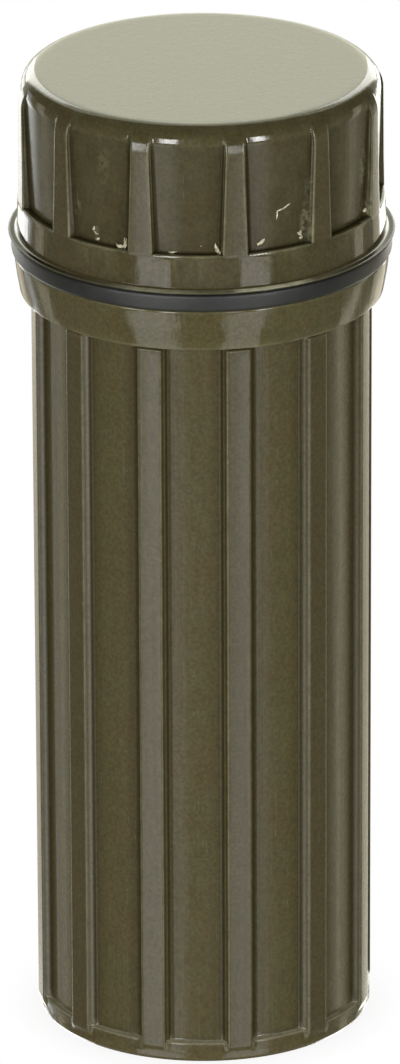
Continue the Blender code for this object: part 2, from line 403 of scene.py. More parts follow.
def round_edges(piece, width, segments=3):
    """Round the weighted edges, and let the big faces lead the shading."""
    apply_modifier(piece, 'BEVEL', width=width, segments=segments, limit_method='WEIGHT',
                   use_clamp_overlap=True, miter_outer='MITER_SHARP')
    smooth(piece)


def smooth(piece, angle=radians(40)):
    """Shade a piece smooth, apart from its sharpest edges."""
    choose(piece)
    bpy.ops.object.shade_smooth_by_angle(angle=angle)
    apply_modifier(piece, 'WEIGHTED_NORMAL', keep_sharp=True, weight=60)


def store(piece, name, values):
    """Store one value for each point of a piece, for its material."""
    piece.data.attributes.new(name, 'FLOAT', 'POINT').data.foreach_set("value", values)


def mark_edges_and_hollows(piece, unshaded=lambda co: 1, full_angle=radians(35), spread=0.6):
    """Store how convex and how hollow each point's surroundings are.

    unshaded takes a place and gives the share of the painted shade in hollows that stays there.
    The painted shade fills a corner, and spreads by its own share to the points beside it.
    """
    mesh = bmesh.new()
    mesh.from_mesh(piece.data)
    turns = [[edge.calc_face_angle_signed(0) for edge in point.link_edges] for point in mesh.verts]
    proud = [min(1, max([0, *around]) / full_angle) for around in turns]
    hollow = [min(1, -min([0, *around]) / full_angle) for around in turns]
    near = [[edge.other_vert(point).index for edge in point.link_edges
             if edge.calc_length() < BESIDE] for point in mesh.verts]
    hollow = [max([own, *[spread * hollow[other] for other in others]]) * unshaded(point.co)
              for own, others, point in zip(hollow, near, mesh.verts)]
    mesh.free()
    store(piece, "proud", proud)
    store(piece, "hollow", hollow)


def settle(piece, body, slot, material, *nodes):
    """Give a finished piece its material, and its place in the frame. slot is not used."""
    piece.data.materials.clear()
    piece.data.materials.append(material)
    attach(piece, body)
    if nodes:
        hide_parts(*nodes)


# Materials

def plug(tree, made, inputs):
    """Link or set these inputs of a node."""
    for socket, value in inputs.items():
        if isinstance(value, bpy.types.NodeSocket):
            tree.links.new(value, made.inputs[socket])
        else:
            made.inputs[socket].default_value = value


def node(tree, kind, inputs=None, **settings):
    """Add a node with its settings, and link or set its inputs."""
    made = tree.nodes.new(kind)
    for name, value in settings.items():
        setattr(made, name, value)
    plug(tree, made, inputs or {})
    return made


class Mixer:
    """A node tree being put together, with short ways to add the nodes that trees share."""

    def __init__(self, tree, coordinates="Object"):
        self.tree = tree
        self.place = self.add('ShaderNodeTexCoord').outputs[coordinates]

    def add(self, kind, inputs=None, **settings):
        return node(self.tree, kind, inputs, **settings)

    def scaled(self, x, y, z):
        """The tree's coordinates times a scale along each axis."""
        return self.add('ShaderNodeMapping', {"Vector": self.place,
                                              "Scale": (x, y, z)}).outputs["Vector"]

    def math(self, operation, first, second):
        return self.add('ShaderNodeMath', {0: first, 1: second}, operation=operation).outputs[0]

    def product(self, first, second):
        return self.math('MULTIPLY', first, second)

    def measure(self, operation, *vectors):
        """A number that a vector operation gives."""
        return self.add('ShaderNodeVectorMath', dict(enumerate(vectors)),
                        operation=operation).outputs["Value"]

    def times(self, vector, factor):
        return self.add('ShaderNodeVectorMath', {0: vector, "Scale": factor},
                        operation='SCALE').outputs["Vector"]

    def height(self, vector):
        return self.add('ShaderNodeSeparateXYZ', {"Vector": vector}).outputs["Z"]

    def ramp(self, value, low, high, to_low=0.0, to_high=1.0):
        """Map a value from one range to another, and hold it there."""
        return self.add('ShaderNodeMapRange', {"Value": value, "From Min": low, "From Max": high,
                                               "To Min": to_low, "To Max": to_high}).outputs[0]

    def clouds(self, vector, scale, detail=3.0, roughness=0.5):
        return self.add('ShaderNodeTexNoise', {"Vector": vector, "Scale": scale, "Detail": detail,
                                               "Roughness": roughness}).outputs["Fac"]

    def blend(self, factor, first, second):
        return self.add('ShaderNodeMix', {"Factor": factor, "A": rgba(first), "B": rgba(second)},
                        data_type='RGBA').outputs["Result"]

    def stored(self, name):
        return self.add('ShaderNodeAttribute', attribute_name=name).outputs["Fac"]

    def bump(self, height, distance, strength, **under):
        return self.add('ShaderNodeBump', {"Height": height, "Distance": distance,
                                           "Strength": strength, **under}).outputs["Normal"]

    def camera_ray(self):
        return self.add('ShaderNodeLightPath').outputs["Is Camera Ray"]

    def dress(self, inputs, name="Principled BSDF"):
        """Link or set the inputs of the tree's shader."""
        plug(self.tree, self.tree.nodes[name], inputs)


def made_once(name, recipe, *values):
    """The material of this name, put together by its recipe the first time."""
    material = bpy.data.materials.get(name)
    if material is None:
        material = bpy.data.materials.new(name)
        material.use_nodes = True
        recipe(Mixer(material.node_tree), *values)
    return material


def rgba(colour):
    """A colour with its alpha, from a hex value or three linear ones. A socket stays itself."""
    if isinstance(colour, bpy.types.NodeSocket):
        return colour
    return (*(linear(colour) if isinstance(colour, str) else colour), 1)


def scuff_share(mix, spot, scuffs):
    """How scuffed the plastic is by knocks: torn patches, from (centre, reach, strength) rows."""
    torn = mix.ramp(mix.clouds(spot, 1.8, 4.0, 0.7), 0.42, 0.60)
    upright = mix.scaled(MM, MM, MM * SCUFF_SQUASH)
    share = 0.0
    for centre, reach, strength in scuffs:
        away = mix.measure('DISTANCE', upright, centre)
        patch = mix.product(mix.ramp(away, reach, reach * 0.2, 0.0, strength), torn)
        share = mix.math('MAXIMUM', share, patch)
    return share


def moulded_abs(mix, gloss, streaks, grip, grip_low, grip_high, shade, rub_and_highlight, radius_shade, scuffs=()):
    """ABS, injection moulded from an olive masterbatch.

    The eye gets a hard gloss with a faint orange peel, thin draw marks along the ejection
    direction on the long wall, pigment that wanders between brown and green, pale edges that are
    partly scuffing and partly a painted highlight, and where the cap is gripped a surface that
    hands have dulled. It also carries painted shade in the hollows and by radius, and a stored
    painted highlight. Lengths are in mm. radius_shade is the radius where a painted shade
    starts, the one where it is full, and the tone and sheen it gives.
    """
    spot = mix.scaled(MM, MM, MM)
    # Pigment clouds about 9 mm across, finer ones of 1.5 mm, and a grain of 0.2 mm
    fine = mix.clouds(spot, 0.65, 4.0)
    hue = mix.ramp(mix.math('ADD', mix.clouds(spot, 0.11), fine), 0.75, 1.25, 0.15, 0.85)
    pigment = mix.blend(hue, colours().olive, colours().olive_green)
    speckle = mix.clouds(spot, 3.2, 3.0, 0.7)
    grained = mix.times(pigment, mix.ramp(speckle, 0.36, 0.64, 0.78 * shade, 1.22 * shade))
    # Draw marks 0.3 mm apart round the wall and 25 mm long
    marks = mix.clouds(mix.scaled(3200, 3200, 40), 1.0, 3.0, 0.6)
    # Pale convex edges, partly scuffing and partly a painted highlight, broken up over 2 mm
    broken = mix.ramp(mix.clouds(spot, 0.5, 5.0, 0.65), 0.38, 0.62, 0.45, 1.0)
    rubbed_and_highlit = mix.product(mix.stored("proud"), broken)
    hollow = mix.stored("hollow")
    # Where hands or a case liner wear it, with a soft border, and a painted shade there by radius
    border = 0.15
    height = mix.height(spot)
    held = mix.product(mix.ramp(height, grip_low - border, grip_low + border),
                       mix.ramp(height, grip_high + border, grip_high - border))
    # Painted shade by radius: darker and less specular on the container's rib faces and in the
    # cap's panels
    unshaded, fully_shaded, tone, sheen = radius_shade
    around = mix.measure('LENGTH', mix.scaled(MM, MM, 0))
    shade_share = mix.product(held, mix.ramp(around, unshaded, fully_shaded))
    marked = mix.times(grained, mix.ramp(shade_share, 0, 1, 1.0, tone))
    # Pale convex edges: partly scuffing, partly a painted highlight
    marked = mix.blend(mix.product(rubbed_and_highlit, rub_and_highlight), marked, colours().olive_scuff_and_highlight)
    if scuffs:
        marked = mix.blend(scuff_share(mix, spot, scuffs), marked, colours().olive_scuff_and_highlight)
    # Painted highlight in the pale flash colour: the lip's upper edge, the collar's lower edge and
    # the panels' foot
    white = mix.product(mix.stored("painted_highlight"),
                        mix.ramp(mix.clouds(spot, 1.2, 4.0, 0.6), 0.3, 0.55, 0.6, 1.0))
    marked = mix.blend(white, marked, colours().olive_flash_and_highlight)
    # Painted shade in the hollows, in a dark brown
    marked = mix.blend(mix.product(hollow, 0.7), marked, HOLLOW_PAINTED_SHADE)
    # The mould's polish wanders a little; rubbing, draw marks and hands dull it
    rough = mix.ramp(fine, 0.3, 0.7, gloss - 0.02, gloss + 0.04)
    for dulling in (mix.product(rubbed_and_highlit, 0.06),
                    mix.ramp(marks, 0.45, 0.75, 0.0, 0.2 * streaks),
                    mix.product(held, grip)):
        rough = mix.math('ADD', rough, dulling)
    # Painted shade is less specular, by radius and in the hollows
    gleam = mix.ramp(speckle, 0.36, 0.64, 0.47, 0.53)
    for share in (mix.ramp(shade_share, 0, 1, 1.0, sheen), mix.ramp(hollow, 0, 1, 1.0, 0.12)):
        gleam = mix.product(gleam, share)
    # Orange peel 0.5 mm across and a couple of microns deep, under the draw marks
    peel = mix.bump(mix.clouds(spot, 1.4, 2.0), 0.000010, 0.6)
    mix.dress({"Base Color": marked, "Roughness": rough, "Specular IOR Level": gleam,
               "Normal": mix.bump(marks, 0.000012, streaks, Normal=peel), "IOR": ABS_IOR})


def wall_abs():
    """The container's plastic: polished collar, a wall a liner has dulled, painted shade on the rib
    faces.
    """
    return made_once("olive_abs_moulded_wall", moulded_abs, 0.10, 0.5, 0.09, 1.0,
                     sizes().collar_foot * MM, 0.93, 0.3, (13.75, 13.95, 0.84, 0.95))


def cap_abs():
    """The cap's plastic: polished band and top, dulled grip with painted shade in its panels, and
    scuffs near its rib feet.
    """
    # Degrees to the right of the camera; radius, height and reach in mm; strength
    scuffs = [((*(photo_direction(azimuth) * radius).xy, height * SCUFF_SQUASH), reach, strength)
              for azimuth, radius, height, reach, strength in (
                  (35.6, 14.7, 73.6, 0.75, 0.75), (36.3, 14.8, 76.5, 0.55, 0.45),
                  (87, 15.0, 72.0, 0.9, 0.7), (66, 14.9, 72.6, 0.7, 0.7),
                  (64, 14.8, 76.0, 0.8, 0.5), (-35.8, 14.5, 72.6, 0.4, 0.3),
                  (-43.6, 14.7, 74.5, 0.5, 0.35), (-33.0, 14.55, 78.9, 0.8, 0.2))]
    return made_once("olive_abs_moulded_cap", moulded_abs, 0.07, 0.4, 0.12, 71.7, 81.0, 0.78,
                     0.55, (14.98, 14.78, 0.8, 0.6), scuffs)


def moulded_nitrile(mix):
    """Nitrile rubber, compression moulded: a soft blue-black with a chalky bloom."""
    spot = mix.scaled(MM, MM, MM)
    bloom = mix.clouds(spot, 0.8, 5.0, 0.7)
    mix.dress({"Base Color": mix.blend(mix.ramp(bloom, 0.35, 0.75), colours().rubber, RUBBER_BLOOM),
               "Roughness": mix.ramp(bloom, 0, 1, 0.34, 0.54),
               "Normal": mix.bump(mix.clouds(spot, 5.0), 0.00002, 0.7), "IOR": 1.52})


def cast_sparking_alloy(mix):
    """Cerium and iron alloy, cast: dark, pitted and oxidised, with bright strike marks."""
    crust = mix.clouds(mix.scaled(MM, MM, MM), 1.6, 6.0, 0.7)
    # Strike marks run across the bar, 0.2 mm apart
    strikes = mix.clouds(mix.scaled(5000, 500, 500), 1.0, 2.0)
    mix.dress({"Base Color": mix.blend(mix.ramp(strikes, 0.5, 0.7), colours().alloy, STRUCK_ALLOY),
               "Roughness": mix.ramp(crust, 0, 1, 0.35, 0.65),
               "Normal": mix.bump(crust, 0.00006, 0.8), "Metallic": 1.0})


def whitened_flash(mix):
    """ABS flash and nicks: thin, stressed until the olive turned pale and waxy."""
    torn = mix.clouds(mix.scaled(MM, MM, MM), 3.0, 4.0)
    mix.dress({"Base Color": mix.blend(mix.ramp(torn, 0.35, 0.65), FLASH_SHADE,
                                       colours().olive_flash_and_highlight),
               "Roughness": 0.4, "Normal": mix.bump(torn, 0.00005, 0.6), "IOR": ABS_IOR})


def painted_floor(mix):
    """Matt white paint on a board. To the camera it is white where nothing shades it."""
    mix.dress({"Base Color": rgba(colours().floor), "Roughness": 0.9})
    white = mix.add('ShaderNodeEmission', {"Color": (1, 1, 1, 1), "Strength": 1.0})
    # Close to the case the white lets the shadow show
    near, far, least = 0.0138, 0.017, 0.9
    fade = mix.ramp(mix.measure('LENGTH', mix.place), near, far, least, 1.0)
    seen = mix.product(mix.camera_ray(), fade)
    paint = mix.tree.nodes["Principled BSDF"]
    both = mix.add('ShaderNodeMixShader', {0: seen, 1: paint.outputs[0], 2: white.outputs[0]})
    mix.dress({"Surface": both.outputs[0]}, "Material Output")


# Pieces

def block(name, low, high):
    """A box between two corners, from a cube at its size and place."""
    low, high = Vector(low), Vector(high)
    return start_piece(name, bpy.ops.mesh.primitive_cube_add, size=1, location=(low + high) / 2,
                       scale=high - low)


def bevel_upright(piece, width, segments=4):
    """Bevel the upright edges of a block."""
    edit('DESELECT', EDGES)
    mesh = bmesh.from_edit_mesh(piece.data)
    for edge in mesh.edges:
        along = edge.verts[0].co - edge.verts[1].co
        edge.select_set(hypot(along.x, along.y) < POINT_SLACK)
    bpy.ops.mesh.bevel(offset=width, segments=segments, affect='EDGES')
    bpy.ops.object.mode_set(mode='OBJECT')


def combine(piece, tool, operation):
    """Join a tool to a piece or cut it out, and delete the tool."""
    apply_modifier(piece, 'BOOLEAN', operation=operation, solver='EXACT', object=tool)
    bpy.data.objects.remove(tool, do_unlink=True)


class CASE_OT_container(bpy.types.Operator):
    """Model the ribbed container with its collar, neck, bore and base"""
    bl_idname = "case.container"
    bl_label = "Container"

    # The rib's slanted foot, then the ledge at which the panels step in: mm above the ribs' foot,
    # and how far the rib and the panel have come from the band to their own radius
    FOOT = ((0.25, 0.42, 0), (0.45, 0.80, 0), (0.56, 0.95, 0), (0.68, 1, 0), (0.78, 1, 0.02),
            (0.83, 1, 0.10), (0.86, 1, 0.28), (0.90, 1, 0.70), (0.94, 1, 0.88), (1.01, 1, 0.97),
            (1.12, 1, 1))
    # Rings of the wall, as shares of its height
    WALL = (0.008, 0.016, 0.33, 0.66, 0.985)
    # The ribs end in a rounding, with a dark gap between them and the collar: mm below the
    # collar, and the share of the rib that is left
    RIB_END = ((0.52, 1), (0.46, 0.985), (0.40, 0.93), (0.35, 0.82), (0.32, 0.66), (0.30, 0.1),
               (0.24, 0), (0, 0))
    # The collar's slope: mm in from the shoulder's edge, and mm above the collar's foot
    SLOPE = ((0.30, 0.9), (0.16, 1.7), (0.05, 2.5))

    def execute(self, context):
        size = sizes()
        foot_inner, foot_outer, foot_chamfer, foot_round = 0.01224, 0.01352, 0.00033, 0.00012
        underside, near, rib_slant, rib_edge = 0.0010, 0.0001, 0.00013, 0.00018
        band, shape = size.band_radius, (size.rib_width / 2, rib_slant, rib_edge)
        piece = begin_ring("container_moulding", foot_inner, 0)
        pull_along(piece, rounded([
            (foot_inner + foot_round, 0), (foot_outer, 0, foot_round),
            (band, foot_chamfer, foot_round), (band, size.rib_foot - near)]))
        pull_section(piece, size.rib_foot, band, band, *shape)
        self.pull_wall(piece, band, shape)
        # The collar's underside rises by a hair outwards
        collar, edge, hair, inset = size.collar_foot, size.shoulder_radius, 0.00001, 0.00018
        foot_edge, top_edge, top_band = 0.00010, 0.00016, 0.0003
        under = size.collar_foot_radius - inset
        pull_section(piece, collar + hair, under, under, *shape)
        slope = [(edge - within / MM, collar + above / MM) for within, above in self.SLOPE]
        pull_along(piece, rounded([
            (size.collar_foot_radius, collar + 2 * hair, foot_edge), *slope,
            (edge, size.shoulder - top_band), (edge, size.shoulder, top_edge),
            (size.land_radius, size.shoulder)]))
        self.pull_neck(piece)
        select_ring(piece, foot_inner, 0)
        pull(piece, foot_inner, underside)
        close_ring()
        finish_shell(piece)
        self.add_boss(piece, underside)

        recess, rim, unshaded = underside + 0.0005, size.neck_top - 0.0005, size.rib_foot + 0.0015

        def weight(middle):
            radius = axis_radius(middle)
            if middle.z < recess and radius < foot_inner + POINT_SLACK:
                return 0.4
            if radius > size.land_radius + POINT_SLACK:
                return 0
            return 1.0 if middle.z > rim else 0.6

        weigh_edges(piece, weight, radians(17))
        round_edges(piece, size.edge_round)
        # Painted shade in the hollows, weak near the foot
        mark_edges_and_hollows(piece, lambda co: 0.15 if co.z < unshaded else 1)
        self.mark_collar(piece)
        settle(piece, "container", "moulded_plastic", wall_abs(), "container")
        return {'FINISHED'}

    def pull_wall(self, piece, band, shape):
        """Pull the ribbed wall from its foot up to the collar."""
        size = sizes()
        draft = 0.00013
        panel, rib = size.panel_radius, size.panel_radius + size.rib_height
        for above, rib_part, panel_part in self.FOOT:
            pull_section(piece, size.rib_foot + above / MM, band + (rib - draft - band) * rib_part,
                         band + (panel - draft - band) * panel_part, *shape)
        low = size.rib_foot + self.FOOT[-1][0] / MM
        for part in self.WALL:
            pull_section(piece, low + (size.collar_foot - low) * part, rib - draft * (1 - part),
                         panel - draft * (1 - part), *shape)
        for below, part in self.RIB_END:
            pull_section(piece, size.collar_foot - below / MM, panel + (rib - panel) * part, panel,
                         *shape)

    def pull_neck(self, piece):
        """Pull the land, the neck and the bore, and close the bore's floor."""
        size = sizes()
        land_top, draft = size.shoulder + 0.0017, 0.0002
        pull_along(piece, ((size.land_radius, land_top), (size.neck_radius, land_top),
                           (size.neck_radius, size.neck_top), (size.bore_radius, size.neck_top),
                           (size.bore_radius - draft, size.cavity_floor)))
        close_ring()

    def add_boss(self, piece, underside):
        """Add the boss in the base, and cut the bar's slot in it."""
        wall, gap, corner, overlap = 0.0013, 0.00025, 0.0010, 0.0004
        reach, play = Vector((wall + gap, wall + gap, 0)), Vector((gap, gap, 0))
        boss = block("boss_tool", BAR_LOW - reach, (*(BAR_HIGH + reach).xy, underside + overlap))
        bevel_upright(boss, corner)
        combine(piece, boss, 'UNION')
        slot = block("slot_tool", BAR_LOW - play - Vector((0, 0, overlap)),
                     BAR_HIGH + play + Vector((0, 0, gap)))
        bevel_upright(slot, gap)
        combine(piece, slot, 'DIFFERENCE')

    def mark_collar(self, piece):
        """Store a painted highlight on the collar's lower edge and the panels' foot, for the
        material.
        """
        size, reach = sizes(), 0.00009
        ledge_low, ledge_high = size.rib_foot + 0.00080, size.rib_foot + 0.00100

        # Painted highlight: the collar's lower edge, and a lighter line on the panels' foot
        def marked(co):
            out = axis_radius(co)
            if abs(co.z - size.collar_foot) < reach and out > size.collar_foot_radius - reach:
                return 0.4
            return 0.3 if ledge_low < co.z < ledge_high and out < size.band_radius else 0

        store(piece, "painted_highlight", [marked(point.co) for point in piece.data.vertices])


def helix(name, radius, bottom, turns, root_half, crest_half, side=1):
    """A thread ridge: one cross section, screwed about the axis, with run-out ends.

    root_half and crest_half are half its width. It stands out, or towards the axis if side is -1.
    """
    pitch, height = sizes().thread_pitch, sizes().thread_height
    steps, sunk, run_out, least, rounding = 96, 0.00012, radians(28), 0.04, crest_half * 0.6
    middle, crest = radius + side * (height - sunk) / 2, radius + side * height
    piece = start_piece(name, bpy.ops.mesh.primitive_plane_add, size=1,
                        location=(middle, 0, bottom), rotation=(pi / 2, 0, 0))
    edit()
    bpy.ops.transform.resize(value=(height + sunk, 1, 2 * root_half),
                             center_override=(middle, 0, bottom))
    select_points(piece, lambda co: abs(co.x - crest) < POINT_SLACK * 10)
    bpy.ops.transform.resize(value=(1, 1, crest_half / root_half),
                             center_override=(crest, 0, bottom))
    bpy.ops.mesh.bevel(offset=rounding, segments=3, affect='VERTICES')
    bpy.ops.mesh.select_all(action='SELECT')
    bpy.ops.mesh.delete(type='ONLY_FACE')
    bpy.ops.object.mode_set(mode='OBJECT')
    apply_modifier(piece, 'SCREW', angle=tau * turns, screw_offset=pitch * turns, iterations=1,
                   steps=int(steps * turns), render_steps=int(steps * turns), axis='Z')
    edit()
    mesh = bmesh.from_edit_mesh(piece.data)
    for point in mesh.verts:
        turned = atan2(point.co.y, point.co.x) % tau
        about = (point.co.z - bottom) / pitch * tau
        along = turned + tau * round((about - turned) / tau)
        share = max(least, min(1, along / run_out, (tau * turns - along) / run_out))
        proud = axis_radius(point.co) - radius
        if side * proud > 0:
            point.co.xy *= (radius + proud * share) / axis_radius(point.co)
    bpy.ops.mesh.fill_holes(sides=0)
    finish_shell(piece)
    smooth(piece, radians(50))
    mark_edges_and_hollows(piece)
    return piece


class CASE_OT_threads(bpy.types.Operator):
    """Model the neck's thread and the cap's thread"""
    bl_idname = "case.threads"
    bl_label = "Threads"

    def execute(self, context):
        size = sizes()
        # The neck's thread starts here, and the cap's half a pitch above it
        start = size.shoulder + 0.0034
        neck = helix("neck_thread", size.neck_radius, start, 2.35, 0.00075, 0.00035)
        settle(neck, "container", "moulded_plastic", wall_abs())
        cap = helix("cap_thread", size.cap_bore_radius, start + size.thread_pitch / 2, 2.2, 0.0007,
                    0.0003, side=-1)
        settle(cap, "cap", "moulded_plastic", cap_abs())
        return {'FINISHED'}


def between(rows, place):
    """The value at a place, from rows of (place, value)."""
    for (left, first), (right, last) in zip(rows, rows[1:]):
        if place <= right:
            return first + (last - first) * (place - left) / (right - left)


class CASE_OT_cap(bpy.types.Operator):
    """Model the screw cap with its grip ribs, plain band and lip"""
    bl_idname = "case.cap"
    bl_label = "Cap"

    # The lip's edge, and the root of the band on it: mm out from the lip's or the band's radius,
    # and mm above the lip
    LIP = ((0, -0.09), (-0.01, -0.05), (-0.09, 0), (-0.27, 0.02))
    ROOT = ((0.22, 0.03), (0.10, 0.07), (0, 0.17))
    # The panels' foot: mm below the top of the band, and how far the panels have stepped in
    FOOT = ((0.18, 0), (0.07, 0.02), (0.02, 0.07), (0, 0.15), (-0.01, 0.6), (-0.02, 1), (-0.10, 1),
            (-0.22, 1), (-0.45, 1))
    # Rings up the ribs: height in mm, and the share of the face's width that is left
    RIBS = ((74.00, 1), (76.50, 1), (79.00, 1), (80.10, 1), (80.35, 1), (80.60, 1), (80.85, 1),
            (81.05, 1), (81.22, 1), (81.38, 1), (81.52, 0.99), (81.66, 0.96), (81.79, 0.9),
            (81.90, 0.78), (81.97, 0.6))
    # Heights of the rings on the rounded edge of the top and radii of those on the flat, in mm
    EDGE = (82.04, 82.12, 82.21, 82.30, 82.38, 82.44, 82.48)
    FLAT = (12.7, 11.0, 8.0, 5.0, 2.2)
    # How much painted highlight the lip's rim gets, by degrees to the right of the camera
    LIP_HIGHLIGHT = ((-180, 0.0), (-90, 0.0), (-60, 0.0), (-30, 0.2), (-19, 0.55), (-8, 0.45),
                (0, 0.3), (9, 0.3), (13, 1.0), (30, 1.0), (36, 0.3), (60, 0.1), (95, 0.0),
                (180, 0.0))

    def execute(self, context):
        size = sizes()
        mouth, lip, band = CAP_LOW.z, CAP_HIGH.y, size.cap_band_radius
        chamfer, ceiling, ceiling_round = 0.0004, 0.0809, 0.0011
        band_top, trim, straight = mouth + size.cap_band_height, 0.00002, 0.0004
        lip_low, lip_high = mouth + size.lip_gap, mouth + size.lip_gap + size.lip_height
        flat_end, rise_end, flush = lip - 0.00032, lip - 0.00007, size.cap_rib_radius - trim
        piece = begin_ring("cap_moulding", size.cap_bore_radius + chamfer, mouth)
        corners = [(flat_end, mouth), (rise_end, lip_low)]
        for start, rows in ((lip, self.LIP), (band, self.ROOT)):
            corners += [(start + out / MM, lip_high + above / MM) for out, above in rows]
        pull_along(piece, rounded([*corners, (flush, band_top - straight)]))
        self.pull_ribs(piece, band_top, flush)
        pull_along(piece, [(radius / MM, CAP_HIGH.z) for radius in self.FLAT])
        close_ring()
        select_ring(piece, size.cap_bore_radius + chamfer, mouth)
        pull_along(piece, ((size.cap_bore_radius, mouth + chamfer), (size.cap_bore_radius, ceiling),
                           (size.cap_bore_radius - ceiling_round, ceiling)))
        close_ring()
        bpy.ops.mesh.select_all(action='SELECT')
        turn_round(CAP_REST_ANGLE)
        finish_shell(piece)

        bore, near_ceiling = size.cap_bore_radius + chamfer + 0.0001, ceiling - 0.0002

        def weight(middle):
            if axis_radius(middle) > bore:
                return 0
            return 1.0 if middle.z > near_ceiling else 0.3

        weigh_edges(piece, weight, radians(15))
        round_edges(piece, size.edge_round)
        # No painted shade at the root of the band, and a painted highlight on the lip's upper edge
        root_low, root_high = lip_high - 0.00002, lip_high + 0.0003
        mark_edges_and_hollows(piece, lambda co: 0 if root_low < co.z < root_high else 1)
        highlight_radius, highlight_low, highlight_high = band + 0.00015, lip_high - 0.00003, lip_high + 0.00005
        self.mark_lip(piece, highlight_radius, highlight_low, highlight_high)
        settle(piece, "cap", "moulded_plastic", cap_abs(), "screw_cap")
        return {'FINISHED'}

    def pull_ribs(self, piece, band_top, flush):
        """Pull the grip ribs from the band up and over to the edge of the flat top."""
        size, top = sizes(), CAP_HIGH.z
        foot, low, high = size.cap_rib_radius, size.cap_panel_foot, size.cap_panel_head
        sides, foot_face, head_face = (0.00007, 0.00013), 0.00106, 0.00080
        for below, part in self.FOOT:
            rib = flush + (foot - flush) * min(1, 1 - below / self.FOOT[0][0])
            pull_section(piece, band_top - below / MM, rib, flush + (low - flush) * part,
                         foot_face, *sides)
        rounding = 0.0015
        round_start = top - rounding

        def panel_at(height):
            lean = (min(height, round_start) - band_top) / (round_start - band_top)
            over = max(0, height - round_start) / rounding
            inward = (high - size.cap_rim_radius) * (1 - sqrt(max(0, 1 - over ** 2)))
            return low + (high - low) * lean - inward

        # The ribs narrow upwards, and their heads bend in until they run out over the cap's edge
        head_low, head_bend, draft = 0.0801, 0.0028, 0.00003
        for height, left in self.RIBS:
            height /= MM
            over, panel = max(0, height - head_low), panel_at(height)
            rib = foot - draft - head_bend + sqrt(head_bend ** 2 - over ** 2)
            share = max(0, head_low - height) / (head_low - band_top)
            face = (head_face + (foot_face - head_face) * share) * left
            pull_section(piece, height, max(rib, panel), panel, face, *sides)
        for height in (*[mm / MM for mm in self.EDGE], top):
            panel = panel_at(height)
            pull_section(piece, height, panel, panel, face, *sides)

    def mark_lip(self, piece, radius, low, high):
        """Store the painted highlight on the lip's upper edge, and the painted shade under it and
        behind it.
        """
        painted_highlight = [0] * len(piece.data.vertices)
        painted_shade = piece.data.attributes["hollow"].data
        rim, under, shade_share = CAP_HIGH.y - 0.0004, low - 0.00001, 0.95
        for point in piece.data.vertices:
            out = axis_radius(point.co)
            # Painted highlight set by degrees to the right of the camera, and painted shade where
            # it is weak
            if low <= point.co.z <= high and out >= radius:
                azimuth = degrees(axis_angle(point.co) + CAMERA_TURN)
                marked = between(self.LIP_HIGHLIGHT, (azimuth + 180) % 360 - 180)
                painted_highlight[point.index] = marked
                painted_shade[point.index].value = max(0, 1 - 2 * marked)
            # Painted shade on the rim under the lip
            elif point.co.z < under and out > rim:
                painted_shade[point.index].value = shade_share
        store(piece, "painted_highlight", painted_highlight)


class CASE_OT_ring(bpy.types.Operator):
    """Model the sealing ring, squeezed between the lip and the shoulder"""
    bl_idname = "case.ring"
    bl_label = "Sealing ring"

    def execute(self, context):
        # Small gaps stand in for its contact with the lip and the shoulder
        gap, inner, outer = 0.00002, 0.01325, RING_HIGH.x
        low, high = sizes().shoulder + gap, CAP_LOW.z - gap
        points = rounded([(inner, low + 0.0004), (inner, low, 0.0002), (outer, low, 0.00035),
                          (outer + 0.00001, (low + high) / 2), (outer, high, 0.0006),
                          (inner, high, 0.0002), (inner, high - 0.0004)], 5)
        piece = begin_ring("ring_rubber", *points[0])
        pull_along(piece, (*points[1:], points[0]))
        finish_shell(piece)
        smooth(piece, radians(60))
        rubber = made_once("black_nitrile_moulded", moulded_nitrile)
        settle(piece, "ring", "seal_rubber", rubber, "sealing_ring")
        return {'FINISHED'}


class CASE_OT_bar(bpy.types.Operator):
    """Model the sparking bar, with rounded edges and a struck hollow"""
    bl_idname = "case.bar"
    bl_label = "Sparking bar"

    def execute(self, context):
        piece = block("bar_alloy", BAR_LOW, BAR_HIGH)
        edit()
        bpy.ops.mesh.bevel(offset=0.0003, segments=3, affect='EDGES')
        bpy.ops.mesh.select_all(action='SELECT')
        bpy.ops.mesh.subdivide(number_cuts=3)
        skin, reach, depth = 0.0006, 0.0045, 0.00012
        mesh = bmesh.from_edit_mesh(piece.data)
        for point in mesh.verts:
            if point.co.z < BAR_LOW.z + skin:
                point.co.z += depth * max(0, 1 - (point.co.x / reach) ** 2) ** 2
        finish_shell(piece)
        smooth(piece, radians(50))
        alloy = made_once("sparking_alloy_cast", cast_sparking_alloy)
        settle(piece, "container", "sparking_alloy", alloy, "sparking_bar")
        return {'FINISHED'}


